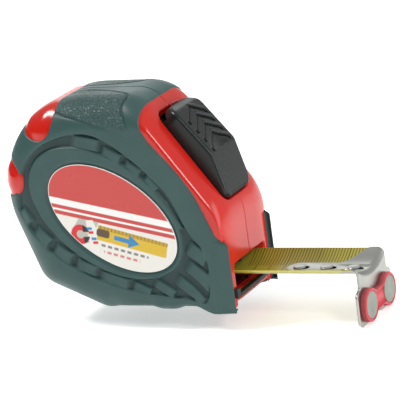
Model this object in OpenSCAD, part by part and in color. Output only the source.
// Pocket tape measure: a rubber covered case with a sprung spool, a curved steel tape,
// a sliding lock and a floating end hook with two magnets.
// +X points out of the mouth, +Z up, and y = 0 is the parting plane of the case.
// The origin is on the base, straight below the spool's axis.

/* [Case] */
// Length of the case from its back to its front face
case_l = 77.8; // [72:0.1:94]
// Height of the case's top above the spool's axis
axis_top = 34; // [32:0.1:42]
// Width of the case over the two rubber grips
case_w = 36.1; // [34.5:0.1:44]
// Distance from the spool's axis to the back of the case
axis_back = 38.6; // [36:0.1:46]
// Height of the spool's axis above the base
axis_h = 36.5; // [35.5:0.1:44]
// Thickness of the rubber over the plastic shells
grip_t = 2; // [1.6:0.1:2.6]
// Wall of the plastic shells
shell_t = 2.4; // [1.8:0.1:3]
// Rounding of the case's long edges
edge_r = 10; // [8:0.5:12]
// Angle of the sloping front above the horizontal
slope_a = 54.7; // [48:0.1:60]
// How far below the spool's axis the sloping front would meet the upright front
nose_drop = 2.5; // [0:0.1:4]
// Height of the rubber cheeks beside the mouth
cheek_h = 23; // [18:0.5:25]

/* [Tape] */
// Width of the steel tape when it lies flat
tape_w = 25; // [19:0.5:27]
// Thickness of the painted steel tape
tape_t = 0.13; // [0.11:0.01:0.16]
// Length of tape wound on the spool
tape_l = 5000; // [3000:100:6000]
// Radius of the tape's curved cross-section
tape_bow_r = 20; // [16:0.5:30]
// Height of the tape's lowest line above the base
tape_z = 9; // [8.5:0.1:10]
// Length of tape that stands out of the case
tape_out = 40.8; // [25:0.1:44]
// Outer radius of the drum that the tape is wound on
drum_r = 17; // [14:0.5:18]

/* [Hook] */
// Thickness of the hook's lower plate
hook_t = 1; // [0.8:0.1:1.2]
// How far the hook floats on its rivets
hook_float = 1; // [0.8:0.1:1.2]
// Depth of the hook below the tape's lowest line
hook_drop = 14.3; // [13:0.1:16]
// Width of the hook's lower plate
hook_w = 29; // [26:0.5:32]
// Radius of each magnet
magnet_r = 4.4; // [3.5:0.1:5]
// Distance between the magnets' centres
magnet_gap = 15.8; // [14:0.1:17]
// Distance between the rivets
rivet_pitch = 9.2; // [8:0.1:10]

/* [Lock] */
// Width of the lock button
button_w = 19.2; // [14:0.2:20]
// Length of the lock button along the slope
button_l = 31; // [26:0.5:32]
// Travel of the lock button
lock_travel = 3; // [2:0.1:3.5]

/* [Label] */
// Length of the oval label
label_l = 48.2; // [40:0.1:52]
// Width of the oval label
label_w = 28.6; // [24:0.1:32]
// Angle of the label's long axis below the horizontal
label_a = 34; // [20:1:45]

/* [Fits] */
// Gap between pieces that lie against each other
seat_gap = 0.05; // [0.02:0.01:0.1]
// Radial clearance of a running fit
run_gap = 0.05; // [0.02:0.01:0.08]
// Gap between pieces that move past each other
free_gap = 0.3; // [0.25:0.05:0.5]

/* [Hidden] */
$fn = 64;

cut_far = 200;                 // reaches past the whole case in any direction
cut_near = 60;                 // reaches past the case from the spool's axis
arc_step = 8;                  // degrees between points on a rounded corner
edge_steps = 4;                // rings across each rounded long edge
smallest_r = 0.6;              // least corner radius left after an inset

case_h = axis_h + axis_top;
nose_h = axis_h - nose_drop;
case_half = case_w / 2;
shell_half = case_half - grip_t;
cavity_half = shell_half - shell_t;
cavity_round = 2;              // inset that keeps the square cavity inside the rounded shell
front_share = 0.35;            // share of the long edges' rounding on the sloping front
slope_wall = shell_t + front_share * cavity_round;
nose_r = 20;                   // radius between the upright and the sloping front
bezel_sunk = 0.4;              // how far the bare plastic lies below the rubber
back_windows = [[112, 139, case_half - 2], [158, 177, case_half - 2.5]];  // angles and half width
front_x = case_l - axis_back;
coil_r = sqrt(drum_r * drum_r + tape_l * tape_t / PI);
tape_half = tape_w / 2;

// Mouth, its bumper and the recess below it
mouth_over_tape = 6;
mouth_under_tape = 3.4;
mouth_top = tape_z + mouth_over_tape;
mouth_floor = tape_z - mouth_under_tape;
mouth_half = tape_half - 0.2;  // the bowed tape is narrower than the flat one
mouth_depth = shell_t + 8;
bumper_t = 1.3;
bumper_l = 5;
bumper_proud = 0.6;
bumper_end_w = 2.2;
bumper_end_h = 1.9;
recess_top = mouth_floor - bumper_t;
recess_half = 13;
recess_back = front_x - 19;
recess_slope_l = 10;
ramp_top = mouth_floor + 0.4;

// Lock, in the frame of the sloping front
button_foot = 2.3;
foot_sunk = 1.2;               // the button's front face starts this far inside the slope
ridge_up = 14.1;
ridge_h = 5.9;
grip_h = 4.8;
lip_l = 2.8;                   // overhang of the button's upper end, which slides over the casing
lip_h = 0.7;                   // height of this overhang above the slope
slider_top = -slope_wall - free_gap;
slider_t = 2;
slider_foot = button_foot + 3.5;
slider_overlap = 0.6;
leaf_up = 24;
leaf_half_w = 3;
leaf_t = 0.3;
leaf_rise = 1.4;
leaf_low = slider_top - slider_t - leaf_rise - leaf_t - seat_gap;
ledge_t = 1.5;
ledge_l = cavity_half - tape_half - free_gap;
arm_x = front_x - 6.6;
arm_t = 2;
arm_gap = 11;                  // between the two arms, which stand on both sides of the hook's tongue
arm_w = 3.5;

// Screws, arbor, spring and anchor
screw_r = 1.4;
screw_head_r = 2.6;
screw_head_t = 1.8;
screw_seat = cavity_half - 1.2;
boss_r = screw_head_r + 1;
boss_circle_r = coil_r + 5.8;
boss_angles = [72, 128, 218, 330];
arbor_r = 4;
arbor_key = 5.4;
arbor_key_l = 1.2;
arbor_bore_l = 14;
slot_z = 2.2;                  // height of the arbor's slot above its axis
spring_tab_l = 2.5;            // bent inner end of the power spring
clip_screw_r = 1.5;
clip_screw_head_r = 3.4;
clip_screw_head_t = 1.4;
washer_r = 8;
drum_wall = 1.6;
drum_web = 1.2;
spring_turns = 7;
spring_t = 0.35;
spiral_step = 15;
anchor_w = 10;
anchor_l = 5;
anchor_t = 0.5;
anchor_sunk = 0.6;

// Belt clip
clip_w = 16;
clip_t = 0.9;
clip_gap = 4.8;
clip_base_l = 34;
clip_tongue_l = 36;
clip_flare = 4;

// Tape and hook
tape_steps = 8;
flat_tape_z = axis_h - coil_r - 0.8;
tape_tail_x = 17;
tape_bend_l = 7;
tail_room = 4.3;               // part of the tape's run back that the round cavity already clears
hook_x = front_x + tape_out;
tape_end_x = hook_x - hook_t - hook_float - 0.1;
tongue_l = 29;
tongue_half = 3.9;
tongue_t = 0.8;
hook_shoulder_l = 9.5;
hook_edge_l = 2.5;             // straight end of the shoulder at the fold
hook_bend_half = tape_half * 0.97;
shoulder_half = tape_half * 0.93;
plate_step = 2.5;              // the plate's neck reaches this far below the tape's lowest line
plate_chamfer = 1.2;
plate_corner = 2;
notch_half = 3.6;
notch_narrow = 2.4;
notch_h = 2.6;
rivet_r = 1.2;
rivet_head_r = 2.1;
rivet_head_t = 0.6;
rivet_lift = 0.25;             // room under the upper heads for the tongue's curve
rivet_count = 3;
rivet_first = 6.1;
holder_rim = 1;
holder_t = 2;
magnet_t = 1.5;
magnet_z = tape_z - 8.5;
waist_half = 2.6;
peg_r = 1.5;

// Label
label_step = 6;
label_t = 0.3;
label_depth = 0.55;
label_x = 0.8;
label_z = axis_h - 4.5;

casing_red = "#c8281e";
holder_red = "#c83246";
rubber_grey = "#46635f";
near_black = "#26292a";
steel = "#b9bcbb";
spring_blue = "#5d6670";
tape_yellow = "#b4ad3a";
nylon = "#e4e2d8";

// ---------- outline of the case ----------

// Corners of the side outline: x, z, corner radius, and for the edge to the next corner
// its share of the long edges' rounding and of the rubber's thickness
case_corners = [
  [front_x, 0, 2, 0.15, 0],
  [front_x, nose_h, nose_r, front_share, 0],
  [front_x - (case_h - nose_h) / tan(slope_a), case_h, 12, 1, 1],
  [-axis_back, case_h, case_h - axis_h - 3.5, 1, 1],
  [-axis_back, nose_h, 30, 1, 1],
  [-axis_back + 8.6, 9.2, 10, 1, 1],
  [-9, 0, 20, 0.35, 1]
];

// Unit normal of the edge from p to q that points into the case
function inward(p, q) = [p[1] - q[1], q[0] - p[0]] / norm([q[0] - p[0], q[1] - p[1]]);

// How far the edge that starts at a corner moves inwards
function edge_inset(corner, round_d, grip_d, front_d) =
  corner[3] * round_d + corner[4] * grip_d + (1 - corner[4]) * front_d;

// The corners after each edge has moved inwards: by its share of round_d, and by grip_d where
// rubber covers it or by front_d where it is bare
function inset_corners(round_d, grip_d, front_d) =
  let(corners = case_corners, count = len(corners))
  [for (i = [0 : count - 1])
    let(
      before = corners[(i + count - 1) % count],
      here = corners[i],
      n0 = inward(before, here),
      n1 = inward(here, corners[(i + 1) % count]),
      d0 = edge_inset(before, round_d, grip_d, front_d),
      d1 = edge_inset(here, round_d, grip_d, front_d),
      det = n0[0] * n1[1] - n0[1] * n1[0]
    )
    [here[0] + (d0 * n1[1] - d1 * n0[1]) / det,
     here[1] + (n0[0] * d1 - n1[0] * d0) / det,
     max(here[2] - (d0 + d1) / 2, smallest_r)]];

// Points of a convex outline with each corner turned into an arc
function rounded(corners) =
  let(count = len(corners))
  [for (i = [0 : count - 1])
    let(
      here = corners[i],
      n0 = inward(corners[(i + count - 1) % count], here),
      n1 = inward(here, corners[(i + 1) % count]),
      middle = (n0 + n1) / norm(n0 + n1),
      centre = [here[0], here[1]] + middle * here[2] / (n0 * middle),
      start = atan2(-n0[1], -n0[0]),
      turn = acos(n0 * n1),
      steps = ceil(turn / arc_step)
    )
    for (s = [0 : steps])
      centre + here[2] * [cos(start + turn * s / steps), sin(start + turn * s / steps)]];

function case_outline(round_d, grip_d, front_d) = rounded(inset_corners(round_d, grip_d, front_d));

function backwards(list) = [for (i = [len(list) - 1 : -1 : 0]) list[i]];

// Closed solid through rings of points, all with the same number of points.
// Seen from the last ring, each ring runs anticlockwise.
module loft(rings) {
  ring_size = len(rings[0]);
  last = len(rings) - 1;
  sides = [for (r = [0 : last - 1]) for (i = [0 : ring_size - 1])
    let(j = (i + 1) % ring_size, a = r * ring_size, b = a + ring_size)
    each [[a + i, b + i, a + j], [a + j, b + i, b + j]]];
  first_cap = [for (i = [0 : ring_size - 1]) i];
  last_cap = [for (i = [ring_size - 1 : -1 : 0]) last * ring_size + i];
  polyhedron([for (ring = rings) each ring], concat(sides, [first_cap, last_cap]));
}

// Half of a body with the case's outline, from y = start out to a flat side at y = half,
// with a rounded long edge. grip_d is taken off the outline where the rubber lies.
module rounded_half(start, half, round_r, grip_d) {
  angles = [for (s = [edge_steps : -1 : 0]) 90 * s / edge_steps];
  rings = concat([for (a = angles) [half - round_r + round_r * sin(a), round_r * (1 - cos(a))]],
                 [[start, 0]]);
  loft([for (r = rings) [for (p = case_outline(r[1], grip_d, 0)) [p[0], r[0], p[1]]]]);
}

// ---------- simple solids ----------

// Prism with a side outline in x and z, from y0 to y1
module side_prism(points, y0, y1) {
  translate([0, y1, 0]) rotate([90, 0, 0]) linear_extrude(y1 - y0) polygon(points);
}
module side_rod(r, y0, y1) {
  translate([0, y1, 0]) rotate([90, 0, 0]) cylinder(r = r, h = y1 - y0);
}
module block(low, high) {
  translate(low) cube(high - low);
}
module left_of() {
  mirror([0, 1, 0]) children();
}
module at_axis() {
  translate([0, 0, axis_h]) children();
}
// Frame of the sloping front: +X up the slope, +Z out of it, origin where it meets the upright front
module on_slope() {
  translate([front_x, 0, nose_h]) rotate([0, -slope_a, 180]) children();
}
// Places of the screws on a circle around the spool's axis
module boss_places() {
  for (a = boss_angles)
    at_axis() translate([boss_circle_r * cos(a), 0, boss_circle_r * sin(a)]) children();
}

// ---------- case ----------

// Part of the sides and front that the rubber leaves free: the bezel around the button and the nose
module front_zone(gap) {
  edge = [[-3.8, 26.2], [-9.2, 39.5], [-15.2, 48.4], [-23.2, 58.1], [-24.8, 62], [-24.6, 65], [-22, 80]];
  side_prism(concat([[cut_far, cheek_h], [front_x, cheek_h]],
                    [for (p = edge) [front_x + p[0] - gap, p[1]]],
                    [[cut_far, cut_far]]),
             -cut_far, cut_far);
}
// Windows in the rubber around the back, as sectors about the spool's axis
module rim_windows(gap) {
  for (w = back_windows)
    at_axis() side_prism([for (p = [[coil_r, w[0] - gap], [cut_near, w[0] - gap], [cut_near, w[1] + gap],
                                    [coil_r, w[1] + gap]]) p[0] * [cos(p[1]), sin(p[1])]],
                         -w[2] - gap, w[2] + gap);
}
// Hollow under the mouth, between the two cheeks
module belly_recess() {
  side_prism([[recess_back, -1], [recess_back, 0], [recess_back + recess_slope_l, recess_top],
              [cut_far, recess_top], [cut_far, -1]], -recess_half, recess_half);
}
module mouth() {
  block([front_x - mouth_depth, -mouth_half, mouth_floor], [cut_far, mouth_half, mouth_top]);
}
module bumper_shape(gap) {
  half = mouth_half + bumper_end_w;
  block([front_x - bumper_l - gap, -half - gap, recess_top],
        [front_x + bumper_proud, half + gap, mouth_floor + gap]);
  for (side = [-1, 1])
    translate([0, side * (mouth_half + bumper_end_w / 2), 0])
      block([front_x - bumper_l - gap, -bumper_end_w / 2 - gap, recess_top],
            [front_x + bumper_proud, bumper_end_w / 2 + gap, mouth_floor + bumper_end_h + gap]);
}
module case_cavity() {
  difference() {
    side_prism(case_outline(cavity_round, grip_t + shell_t, shell_t), -cavity_half, cavity_half);
    side_prism([[recess_back - 4, 0], [recess_back + recess_slope_l - 2, ramp_top],
                [cut_far, ramp_top], [cut_far, 0]], -cut_far, cut_far);
  }
  tape_run();
}
// Room behind the mouth for the tape when the hook is drawn up to the case
module tape_run() {
  block([tape_tail_x - tape_out + tail_room, -cavity_half, tape_z - 0.5],
        [recess_back, cavity_half, axis_h]);
}
// Window in the sloping front for the lock button and its travel
module button_window() {
  on_slope() block([button_foot - 0.5, -button_w / 2 - free_gap, -slope_wall - 0.5],
                   [button_foot + button_l + lock_travel + 0.5, button_w / 2 + free_gap, ridge_h]);
}
// Ledge for the end of the leaf spring under the lock slider
module leaf_ledge() {
  on_slope() block([leaf_up - leaf_half_w, -cavity_half - 0.5, leaf_low - ledge_t],
                   [leaf_up + leaf_half_w, ledge_l - cavity_half, leaf_low]);
}
// The shell on the +Y side of the parting plane
module case_half_body() {
  difference() {
    union() {
      difference() {
        union() {
          rounded_half(seat_gap / 2, shell_half, edge_r - grip_t, grip_t);
          bezel_half();
        }
        case_cavity();
      }
      case_bosses();
    }
    mouth();
    belly_recess();
    bumper_shape(seat_gap);
    button_window();
  }
}
// Bare plastic around the button, on the nose and in the back windows, nearly flush with the rubber
module bezel_half() {
  intersection() {
    rounded_half(seat_gap / 2, case_half - bezel_sunk, edge_r - bezel_sunk, bezel_sunk);
    union() {
      front_zone(0);
      rim_windows(0);
    }
  }
}
module case_bosses() {
  intersection() {
    boss_places() side_rod(boss_r, seat_gap / 2, cavity_half + 0.5);
    rounded_half(seat_gap / 2, shell_half, edge_r - grip_t, grip_t);
  }
  intersection() {
    leaf_ledge();
    block([0, 0, 0], [front_x, cavity_half + 0.5, case_h]);
  }
}
module case_left() {
  key = arbor_key + 2 * seat_gap;
  color(casing_red) left_of() difference() {
    case_half_body();
    boss_places() side_rod(screw_r + seat_gap, -1, cavity_half - 0.5);
    at_axis() translate([0, cavity_half, 0])
      cube([key, 2 * (arbor_key_l + seat_gap), key], center = true);
  }
}
module case_right() {
  color(casing_red) difference() {
    case_half_body();
    boss_places() {
      side_rod(screw_r + seat_gap, -1, case_w);
      side_rod(screw_head_r + seat_gap, screw_seat, case_w);
    }
    at_axis() side_rod(clip_screw_r + seat_gap, 0, case_w);
  }
}

// ---------- rubber ----------

// The rubber skin on the +Y side of the parting plane
module grip_half_body() {
  difference() {
    rounded_half(seat_gap / 2, case_half, edge_r, 0);
    rounded_half(-1, shell_half + seat_gap, edge_r - grip_t + seat_gap, grip_t - seat_gap);
    front_zone(seat_gap);
    rim_windows(seat_gap);
    belly_recess();
    bumper_shape(seat_gap);
    mouth();
  }
}
module label_outline(gap) {
  half_l = label_l / 2 + gap;
  half_w = label_w / 2 + gap;
  polygon([for (a = [0 : label_step : 359]) [half_l * cos(a), half_w * sin(a)]]);
}
// Sheet of a given thickness on the floor of the label's seat
module label_sheet(thickness, gap) {
  translate([label_x, -case_half + label_depth, label_z]) rotate([90, label_a, 0])
    linear_extrude(thickness) label_outline(gap);
}
module grip_left() {
  color(rubber_grey) difference() {
    left_of() grip_half_body();
    label_sheet(2 * label_depth, seat_gap);
  }
}
module grip_right() {
  half = clip_w / 2 + seat_gap;
  color(rubber_grey) difference() {
    grip_half_body();
    boss_places() side_rod(screw_head_r + 4 * seat_gap, 0, case_w);
    at_axis() side_rod(clip_screw_r + seat_gap, 0, case_w);
    block([-half, case_half - clip_t, axis_h - clip_base_l / 2 - seat_gap], [half, case_w, cut_far]);
  }
}
module side_label() {
  color(casing_red) label_sheet(label_t, 0);
}
module mouth_bumper() {
  color(near_black) bumper_shape(0);
}

// ---------- screws, arbor and belt clip ----------

// Screw along Y with a cross recess; the head's seat is at y = 0 and the shank points to -Y
module screw(r, head_r, head_t, shank_l) {
  reach = head_r * 0.65;
  half_slot = head_r * 0.16;
  difference() {
    union() {
      side_rod(r, -shank_l, head_t / 2);
      side_rod(head_r, 0, head_t);
    }
    for (a = [0, 90])
      rotate([0, a, 0]) block([-reach, head_t * 0.4, -half_slot], [reach, 2 * head_t, half_slot]);
  }
}
module case_screws() {
  color(steel) boss_places() translate([0, screw_seat, 0])
    screw(screw_r, screw_head_r, screw_head_t, screw_seat + cavity_half - 1);
}
module clip_screw() {
  color(steel) at_axis() translate([0, case_half, 0])
    screw(clip_screw_r, clip_screw_head_r, clip_screw_head_t, case_half + arbor_bore_l - cavity_half);
}
module spool_arbor() {
  end = cavity_half - seat_gap;
  half = tape_half - 3;
  fit = 2 * seat_gap;
  color(steel) at_axis() difference() {
    union() {
      side_rod(arbor_r, -end, end);
      translate([0, -cavity_half, 0]) cube([arbor_key, 2 * arbor_key_l, arbor_key], center = true);
    }
    side_rod(clip_screw_r + seat_gap, cavity_half - arbor_bore_l - 1, cavity_half + 1);
    block([-spring_tab_l - fit, -half, slot_z], [fit, half, slot_z + spring_t + 2 * fit]);
    block([-spring_t - fit, -half, slot_z], [fit, half, arbor_r + 1]);
  }
}
// Thin washers between the drum and the sides of the case
module spool_washers() {
  room = cavity_half - tape_half;
  color(nylon) at_axis() for (side = [-1, 1])
    translate([0, side * (tape_half + room * 0.6), 0]) difference() {
      side_rod(washer_r, -room * 0.25, room * 0.25);
      side_rod(arbor_r + run_gap, -room, room);
    }
}
function spiral(r0, r1, turns, step) =
  [for (a = [0 : step : 360 * turns]) (r0 + (r1 - r0) * a / (360 * turns)) * [cos(90 + a), sin(90 + a)]];
// Flat spiral spring, whose bent inner end is hooked into the arbor's slot
module power_spring() {
  r0 = arbor_r + 2 * seat_gap;
  r1 = drum_r - drum_wall - free_gap - spring_t;
  half = tape_half - 3.5;
  tab_z = slot_z + 2 * seat_gap;
  inner = spiral(r0, r1, spring_turns, spiral_step);
  outer = spiral(r0 + spring_t, r1 + spring_t, spring_turns, spiral_step);
  color(spring_blue) at_axis() union() {
    side_prism(concat(inner, backwards(outer)), -half, half);
    block([-spring_t, -half, tab_z], [0, half, r0 + spring_t / 2]);
    block([-spring_tab_l, -half, tab_z], [0, half, tab_z + spring_t]);
  }
}
// Outline of a strip bent into a J: base up along z, half turn of inner radius r, and tongue down
function clip_path(y) = let(r = clip_gap / 2, top = axis_h + clip_base_l / 2, mid = y + clip_t + r)
  concat([[y, axis_h - clip_base_l / 2]],
         [for (a = [180 : -15 : 0]) [mid + (r + clip_t) * cos(a), top + (r + clip_t) * sin(a)]],
         [[mid + r + clip_t, top - clip_tongue_l],
          [mid + r + clip_t + clip_flare * 0.5, top - clip_tongue_l - clip_flare],
          [mid + r + clip_flare * 0.5, top - clip_tongue_l - clip_flare],
          [mid + r, top - clip_tongue_l]],
         [for (a = [0 : 15 : 180]) [mid + r * cos(a), top + r * sin(a)]],
         [[y + clip_t, axis_h - clip_base_l / 2]]);
module belt_clip() {
  color(steel) difference() {
    translate([-clip_w / 2, 0, 0]) rotate([90, 0, 90]) linear_extrude(clip_w)
      polygon(clip_path(case_half - clip_t));
    at_axis() side_rod(clip_screw_r + seat_gap, 0, case_half + 1);
    at_axis() side_rod(clip_screw_head_r + 1, case_half + 1, case_w);
  }
}

// ---------- lock ----------

module lock_button() {
  top_u = button_foot + button_l;
  profile = [[button_foot, slider_top], [button_foot, -foot_sunk], [button_foot + ridge_up, ridge_h],
             [top_u, grip_h], [top_u + lip_l, grip_h - lip_l * 0.75], [top_u + lip_l, lip_h],
             [top_u, lip_h], [top_u, slider_top]];
  color(near_black) on_slope() side_prism(profile, -button_w / 2, button_w / 2);
}
// Plate under the sloping wall that carries the button, with two arms down to the tape
module lock_slider() {
  half = button_w / 2 + 2;
  color(near_black) {
    on_slope() block([slider_foot, -half, slider_top - slider_t],
                     [button_foot + button_l + slider_overlap, half, slider_top]);
    difference() {
      lock_arms();
      on_slope() block([-cut_far, -cut_far, slider_top - slider_t / 2], [cut_far, cut_far, cut_far]);
    }
  }
}
// Two upright arms whose feet follow the curve of the tape
module lock_arms() {
  intersection() {
    for (side = [-1, 1])
      translate([arm_x - arm_t, side * (arm_gap + arm_w) / 2 - arm_w / 2, 0]) cube([arm_t, arm_w, case_h]);
    translate([0, 0, tape_z + tape_bow_r]) rotate([0, 90, 0])
      cylinder(r = tape_bow_r - tape_t - free_gap, h = front_x);
  }
}
// Bowed leaf that presses the slider against the wall
module lock_spring() {
  half = cavity_half - 2 * seat_gap;
  bow_r = (half * half + leaf_rise * leaf_rise) / (2 * leaf_rise);
  bow_a = asin(half / bow_r);
  arc = [for (s = [-1 : 0.125 : 1]) [sin(s * bow_a), cos(s * bow_a)]];
  shape = concat([for (p = arc) p * bow_r], backwards([for (p = arc) p * (bow_r + leaf_t)]));
  color(steel) on_slope() translate([leaf_up - leaf_half_w + 0.5, 0, leaf_low + leaf_rise - bow_r])
    rotate([90, 0, 90]) linear_extrude(2 * leaf_half_w - 1) polygon(shape);
}

// ---------- spool ----------

module drum() {
  color(nylon) at_axis() difference() {
    side_rod(drum_r, -tape_half, tape_half);
    side_rod(drum_r - drum_wall, -tape_half + drum_web, tape_half + 1);
    side_rod(arbor_r + run_gap, -case_w, case_w);
    anchor_room(seat_gap);
  }
}
module drum_cover() {
  color(nylon) at_axis() difference() {
    side_rod(drum_r - drum_wall - seat_gap, tape_half - drum_web, tape_half);
    side_rod(arbor_r + run_gap, 0, case_w);
  }
}
module anchor_room(gap) {
  block([-anchor_l / 2 - gap, -anchor_w / 2 - gap, drum_r - anchor_sunk - anchor_t - gap],
        [anchor_l / 2 + gap, anchor_w / 2 + gap, drum_r - anchor_sunk + gap]);
  block([-gap, -anchor_w / 2 - gap, drum_r - anchor_sunk - anchor_t - gap],
        [anchor_t + gap, anchor_w / 2 + gap, drum_r + gap]);
}
// Folded steel end that joins the tape to the drum
module tape_anchor() {
  color(steel) at_axis() intersection() {
    anchor_room(0);
    side_rod(drum_r, -anchor_w, anchor_w);
  }
}
module tape_coil() {
  color(tape_yellow) at_axis() difference() {
    side_rod(coil_r, -tape_half, tape_half);
    side_rod(drum_r + seat_gap, -case_w, case_w);
  }
}

// ---------- tape and hook ----------

// Points across the curved tape at a given height of its lowest line, for a curvature k
function tape_line(k, z, half, lift) =
  [for (s = [-1 : 1 / tape_steps : 1])
    let(a = s * half * k * 180 / PI, r = 1 / k)
    [(r - lift) * sin(a), z + r - (r - lift) * cos(a)]];
function tape_ring(x, k, z) =
  [for (p = concat(tape_line(k, z, tape_half, 0), backwards(tape_line(k, z, tape_half, tape_t))))
    [x, p[0], p[1]]];
module tape_blade() {
  bow = 1 / tape_bow_r;
  flat = bow / 50;
  bend = [for (s = [0 : 0.125 : 1]) let(e = s * s * (3 - 2 * s))
    tape_ring(tape_tail_x + tape_bend_l * s, flat + (bow - flat) * e,
              flat_tape_z + (tape_z - flat_tape_z) * e)];
  color(tape_yellow) difference() {
    loft(concat(bend, [tape_ring(tape_end_x, bow, tape_z)]));
    rivet_places() cylinder(r = rivet_r + seat_gap, h = case_h);
  }
}
module rivet_places() {
  for (i = [0 : rivet_count - 1]) translate([hook_x - rivet_first - i * rivet_pitch, 0, 0]) children();
}
module hook_rivets() {
  top = tape_z + tape_t + seat_gap + tongue_t;
  color(steel) rivet_places() {
    translate([0, 0, tape_z - rivet_head_t]) cylinder(r = rivet_head_r, h = rivet_head_t - seat_gap);
    translate([0, 0, tape_z - rivet_head_t]) cylinder(r = rivet_r, h = top - tape_z + 2 * rivet_head_t);
    translate([0, 0, top + rivet_lift]) cylinder(r = rivet_head_r, h = rivet_head_t);
  }
}
// Section of the tongue and shoulder: a band that follows the tape's upper face
function tongue_section() =
  let(top = tape_t + seat_gap)
  concat(tape_line(1 / tape_bow_r, tape_z, hook_bend_half, top),
         backwards(tape_line(1 / tape_bow_r, tape_z, hook_bend_half, top + tongue_t)));
module tongue_plan() {
  polygon(concat([[hook_x, -shoulder_half], [hook_x, shoulder_half],
                  [hook_x - hook_edge_l, shoulder_half],
                  [hook_x - hook_shoulder_l, tongue_half]],
                 [for (a = [90 : 15 : 270])
                   [hook_x - tongue_l + tongue_half + tongue_half * cos(a), tongue_half * sin(a)]],
                 [[hook_x - hook_shoulder_l, -tongue_half],
                  [hook_x - hook_edge_l, -shoulder_half]]));
}
module rivet_slots() {
  rivet_places() {
    cylinder(r = rivet_r + 2 * seat_gap, h = case_h);
    translate([hook_float, 0, 0]) cylinder(r = rivet_r + 2 * seat_gap, h = case_h);
    block([0, -rivet_r - 2 * seat_gap, 0], [hook_float, rivet_r + 2 * seat_gap, case_h]);
  }
}
module hook_plate() {
  top_line = tape_line(1 / tape_bow_r, tape_z, hook_bend_half, tape_t + seat_gap + tongue_t);
  neck = top_line[len(top_line) - 1][0];
  step_z = tape_z - plate_step;
  low = tape_z - hook_drop;
  half = hook_w / 2;
  right = [[neck, step_z], [half, step_z - plate_chamfer], [half, low + plate_corner],
           [half - plate_corner, low], [notch_half, low], [notch_narrow, low + notch_h]];
  left = backwards([for (p = right) [-p[0], p[1]]]);
  translate([hook_x - hook_t, 0, 0]) rotate([90, 0, 90]) linear_extrude(hook_t)
    polygon(concat(backwards(right), backwards(top_line), backwards(left)));
}
module magnet_places() {
  for (side = [-1, 1]) translate([hook_x, side * magnet_gap / 2, magnet_z]) rotate([0, 90, 0]) children();
}
module end_hook() {
  color(steel) difference() {
    union() {
      hook_plate();
      intersection() {
        rotate([90, 0, 90]) linear_extrude(hook_x) polygon(tongue_section());
        linear_extrude(case_h) tongue_plan();
      }
    }
    rivet_slots();
    magnet_places() cylinder(r = peg_r + seat_gap, h = 4 * hook_t, center = true);
  }
}
module magnet_holder() {
  outer_r = magnet_r + holder_rim;
  color(holder_red) difference() {
    union() {
      magnet_places() {
        cylinder(r = outer_r, h = holder_t);
        translate([0, 0, -hook_t - 0.5]) cylinder(r = peg_r, h = hook_t + 1);
        translate([0, 0, -hook_t - 0.5]) cylinder(r = peg_r + 0.7, h = 0.5 - seat_gap);
      }
      block([hook_x, -magnet_gap / 2, magnet_z - waist_half],
            [hook_x + holder_t, magnet_gap / 2, magnet_z + waist_half]);
    }
    magnet_places() translate([0, 0, holder_t - magnet_t]) cylinder(r = magnet_r + seat_gap, h = holder_t);
  }
}
module magnets() {
  color(steel) magnet_places() translate([0, 0, holder_t - magnet_t + seat_gap])
    cylinder(r = magnet_r, h = magnet_t);
}

case_left();
case_right();
grip_left();
grip_right();
side_label();
mouth_bumper();
belt_clip();
clip_screw();
case_screws();
spool_arbor();
spool_washers();
power_spring();
lock_spring();
lock_button();
lock_slider();
drum();
drum_cover();
tape_anchor();
tape_coil();
tape_blade();
hook_rivets();
end_hook();
magnet_holder();
magnets();
